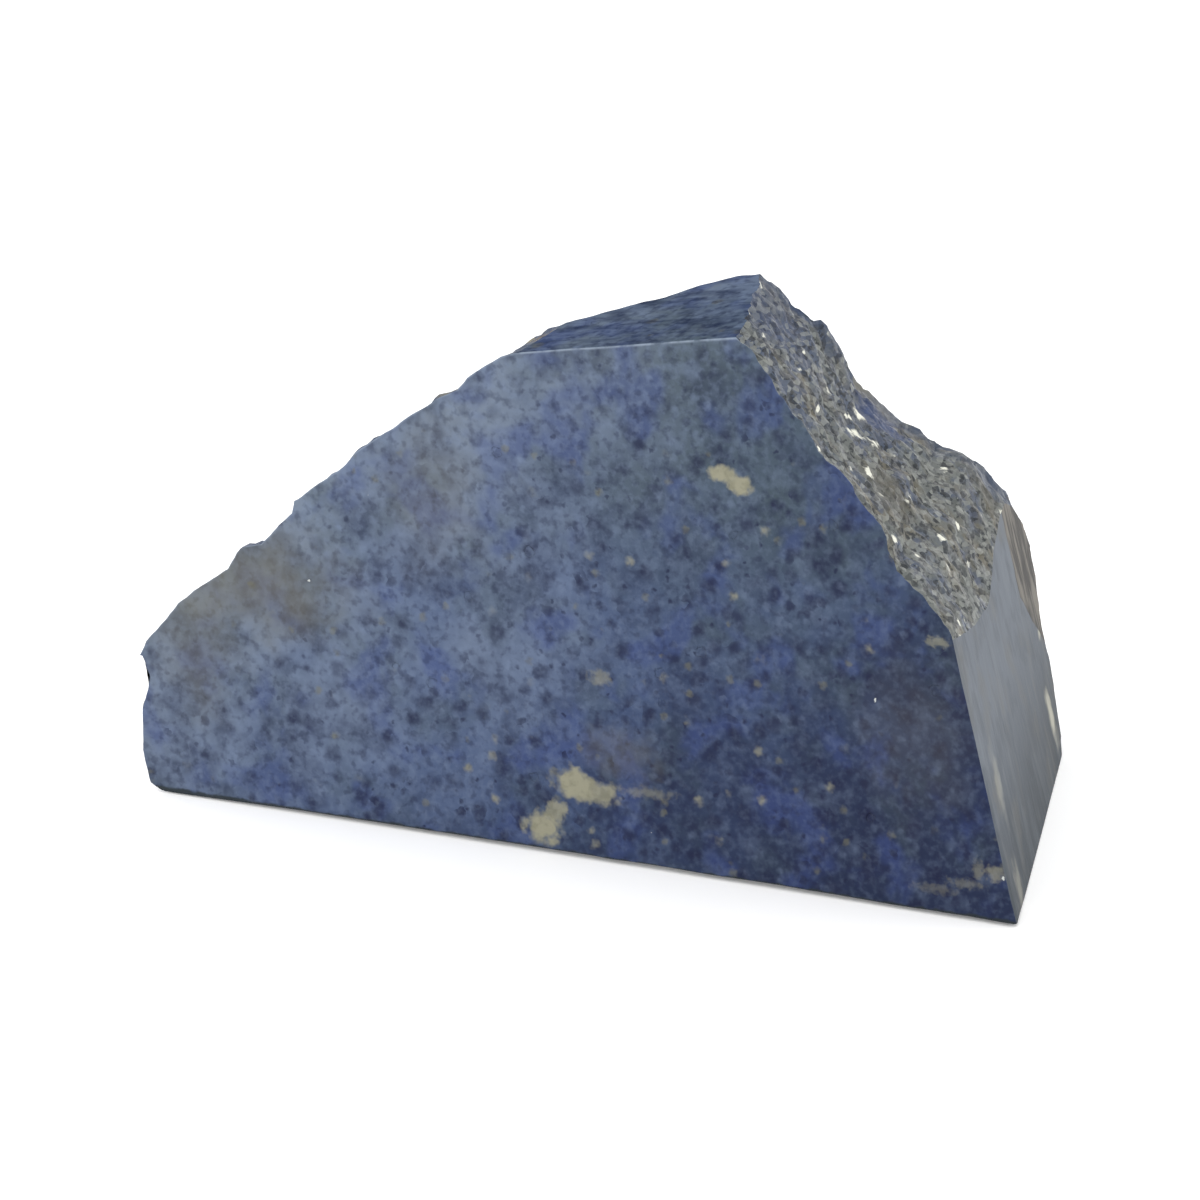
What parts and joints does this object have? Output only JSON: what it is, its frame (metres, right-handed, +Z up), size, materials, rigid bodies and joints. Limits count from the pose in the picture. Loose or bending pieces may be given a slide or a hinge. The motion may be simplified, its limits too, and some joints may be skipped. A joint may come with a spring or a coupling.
{
  "type": "rough dumortierite",
  "caption": "Wedge-shaped chunk of massive blue stone with a sawn front, base, end and small top facet, and a broken ridge, slope and back.",
  "frame": {"origin": "middle of the stone's bounding box, on the flat sawn base that it rests on", "axes": "+Z up, +X along the stone towards its sawn right end, -Y out of the sawn front"},
  "size_m": [0.0958, 0.0578, 0.0566],
  "materials": {
    "stone": "satin where sawn, granular where broken"
  },
  "bodies": {
    "root": {"dumortierite_stone": "stone"}
  },
  "joints": []
}
